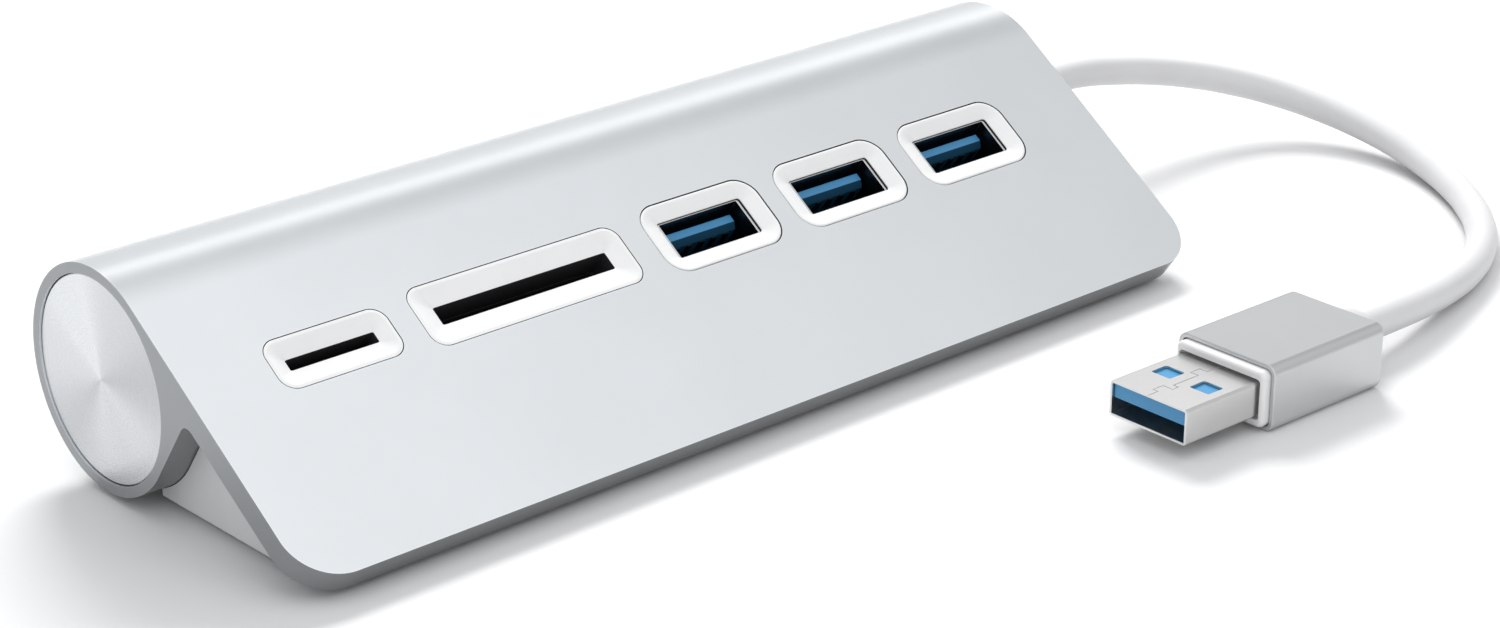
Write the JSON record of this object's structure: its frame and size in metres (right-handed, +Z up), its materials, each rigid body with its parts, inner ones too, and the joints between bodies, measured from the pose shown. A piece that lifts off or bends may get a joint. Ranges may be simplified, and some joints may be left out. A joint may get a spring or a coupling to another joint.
{
  "type": "usb hub",
  "caption": "Desktop hub and card reader: a sloping aluminium extrusion with framed ports, turned end discs, a moulded base and a short captive cord with a metal-sleeved plug.",
  "frame": {"origin": "centre of the body's footprint, on the surface that the feet stand on", "axes": "+X along the body towards the cord, +Y from the front edge to the tube at the back, +Z up"},
  "size_m": [0.1985, 0.0918, 0.0282],
  "materials": {
    "anodised_aluminium": "fine bead-blasted, clear anodised",
    "turned_aluminium": "spun, fine concentric lines",
    "white_plastic": "smooth satin white",
    "base_plastic": "fine matte white",
    "dark_plastic": "matte black",
    "rubber": "matte grey",
    "screw_steel": "plated",
    "plated_steel": "nickel plated sheet",
    "plug_steel": "satin nickel plated sheet",
    "plug_aluminium": "fine bead-blasted, clear anodised",
    "blue_plastic": "satin blue",
    "gilt": "gold plated",
    "board_laminate": "solder mask",
    "chip_plastic": "matte black",
    "capacitor_can": "plain can",
    "ceramic": "matte",
    "wire_insulation": "satin",
    "cord_jacket": "smooth satin white"
  },
  "bodies": {
    "root": {"shell": "anodised_aluminium", "left_end_disc": "turned_aluminium", "right_end_disc": "turned_aluminium", "left_disc_carrier": "dark_plastic", "right_disc_carrier": "dark_plastic", "base": "base_plastic", "rubber_feet": "rubber", "base_screws": "screw_steel", "microsd_frame": "white_plastic", "sd_frame": "white_plastic", "usb_frame_1": "white_plastic", "usb_frame_2": "white_plastic", "usb_frame_3": "white_plastic", "usb_port_shell_1": "plated_steel", "usb_port_shell_2": "plated_steel", "usb_port_shell_3": "plated_steel", "usb_tongue_1": "blue_plastic", "usb_tongue_2": "blue_plastic", "usb_tongue_3": "blue_plastic", "usb_port_contacts": "gilt", "sd_socket_body": "dark_plastic", "sd_socket_cover": "plated_steel", "sd_contacts": "gilt", "microsd_socket_body": "dark_plastic", "microsd_socket_cover": "plated_steel", "microsd_contacts": "gilt", "main_board": "board_laminate", "hub_chip": "chip_plastic", "reader_chip": "chip_plastic", "crystal": "plated_steel", "bulk_capacitors": "capacitor_can", "chip_capacitors": "ceramic", "board_screws": "screw_steel", "cord_tail": "cord_jacket", "lead_wires": "wire_insulation", "cord_gland": "cord_jacket", "cord": "cord_jacket", "plug_boot": "cord_jacket", "plug_sleeve": "plug_aluminium", "plug_moulding": "white_plastic", "plug_shell": "plug_steel", "plug_insulator": "blue_plastic", "plug_contacts": "gilt"}
  },
  "joints": []
}
